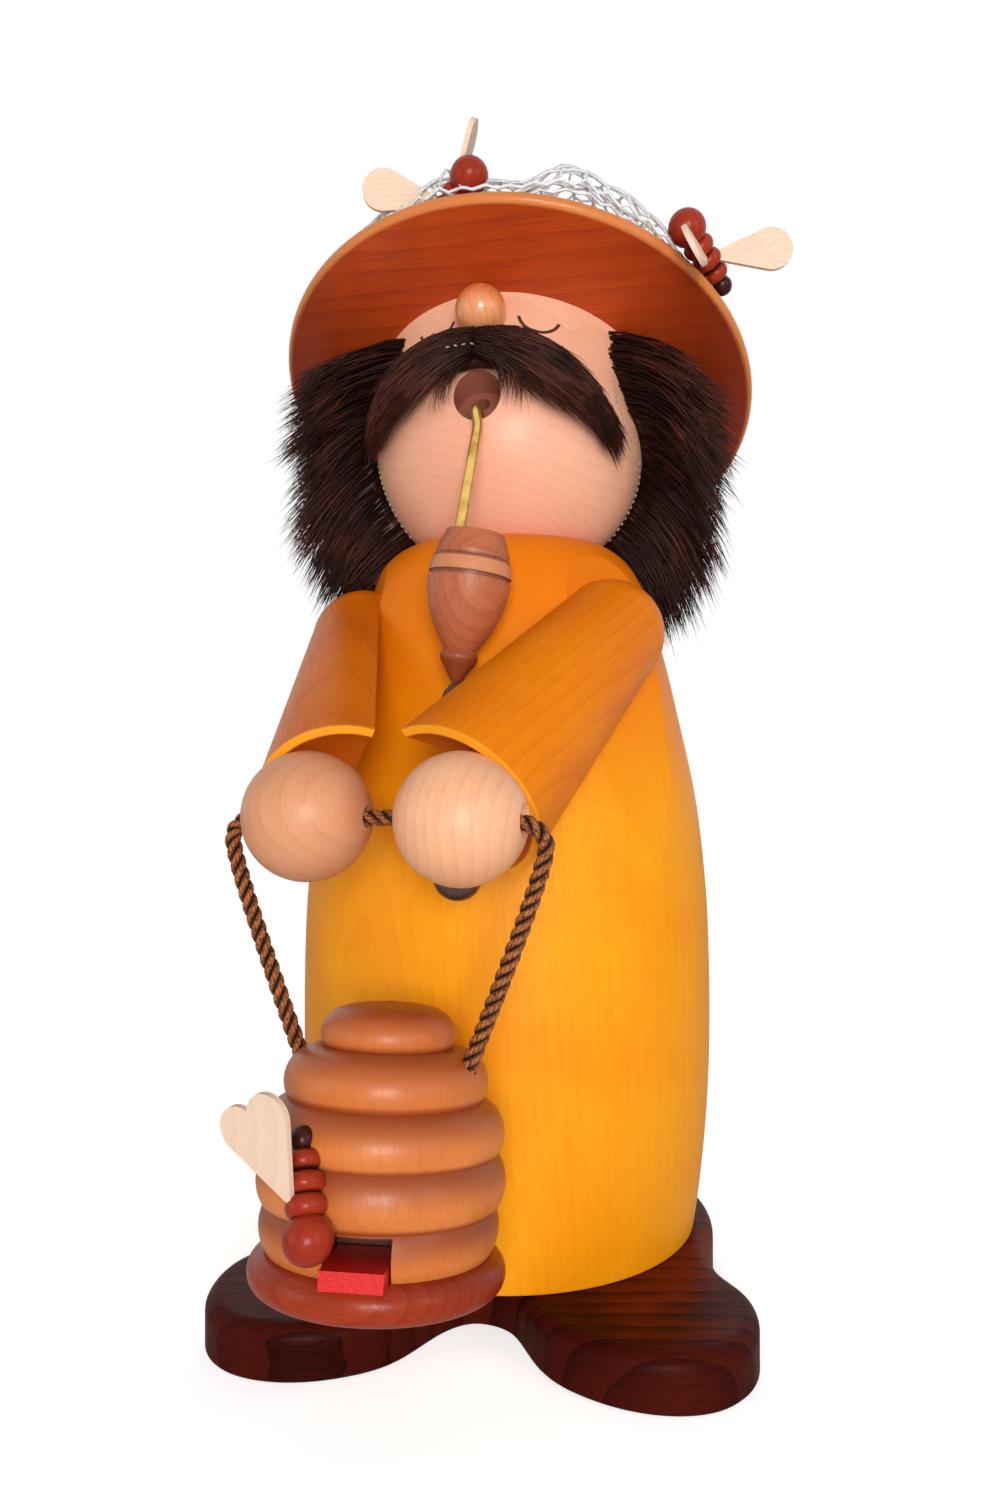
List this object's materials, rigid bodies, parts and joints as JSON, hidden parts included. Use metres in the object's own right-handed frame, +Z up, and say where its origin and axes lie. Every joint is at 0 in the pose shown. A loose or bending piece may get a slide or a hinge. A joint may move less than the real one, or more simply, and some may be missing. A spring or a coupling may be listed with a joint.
{
  "type": "beekeeper incense smoker",
  "caption": "Turned wooden incense smoker in the shape of a beekeeper, with a lift-off body, a pipe and a hanging beehive on a rope.",
  "frame": {"origin": "on the table, on the turning axis of the coat", "axes": "+Z up; the figure looks along -Y; +X is the figure's own left"},
  "size_m": [0.2355, 0.3118, 0.4845],
  "materials": {
    "base_stain": "gloss lacquer",
    "raw_wood": "unfinished",
    "screw_steel": "zinc plated",
    "burner_brass": "pressed, satin",
    "coat_stain": "satin lacquer over stain",
    "dark_stain": "satin lacquer",
    "skin_wood": "satin lacquer",
    "nose_stain": "satin lacquer",
    "dark_fur": "long pile fur",
    "hat_stain": "satin lacquer",
    "white_net": "open mesh",
    "bee_stain": "gloss lacquer",
    "wing_wood": "plain thin wood",
    "brown_rope": "twisted cord",
    "pipe_brass": "satin",
    "pipe_stain": "satin lacquer",
    "hive_stain": "satin lacquer",
    "plate_stain": "gloss lacquer",
    "red_paint": "opaque red paint"
  },
  "bodies": {
    "base": {"shoe_base": "base_stain", "base_plug": "raw_wood", "plug_screws": "screw_steel", "burner_dish": "burner_brass", "burner_screw": "burner_brass"},
    "figure": {"coat": "coat_stain", "button_lower": "dark_stain", "button_middle": "dark_stain", "button_upper": "dark_stain", "neck_tube": "raw_wood", "head": "skin_wood", "nose": "nose_stain", "moustache": "dark_fur", "hair": "dark_fur", "hat_brim": "hat_stain", "hat_crown": "hat_stain", "hat_dowel": "raw_wood", "veil_net": "white_net", "hat_bee_left_body": "bee_stain", "hat_bee_left_wing_flat": "wing_wood", "hat_bee_left_wing_upright": "wing_wood", "hat_bee_right_body": "bee_stain", "hat_bee_right_wing_flat": "wing_wood", "hat_bee_right_wing_upright": "wing_wood", "sleeve_left": "coat_stain", "sleeve_right": "coat_stain", "hand_left": "skin_wood", "hand_right": "skin_wood", "shoulder_dowel_left": "raw_wood", "shoulder_dowel_right": "raw_wood", "hand_dowel_left": "raw_wood", "hand_dowel_right": "raw_wood", "rope_middle": "brown_rope"},
    "pipe": {"pipe_stem": "pipe_brass", "pipe_bowl": "pipe_stain"},
    "hive": {"hive_body": "hive_stain", "hive_plate": "plate_stain", "hive_dowel": "raw_wood", "landing_board": "red_paint", "hive_bee_body": "bee_stain", "hive_bee_wings": "wing_wood", "rope_left_fall": "brown_rope", "rope_right_fall": "brown_rope"}
  },
  "joints": [
    {"name": "figure_lift", "type": "slide", "parent": "base", "child": "figure", "axis": [0, 0, 1], "range_m": [0, 0.08]},
    {"name": "pipe_swivel", "type": "hinge", "parent": "figure", "child": "pipe", "pos_m": [0.00441, -0.05812, 0.36816], "axis": [0.0604, -0.8639, 0.5], "range_deg": [-10, 5]},
    {"name": "hive_swing", "type": "hinge", "parent": "figure", "child": "hive", "pos_m": [0, -0.14107, 0.20536], "axis": [-1, 0, 0], "range_deg": [-4, 40]}
  ]
}
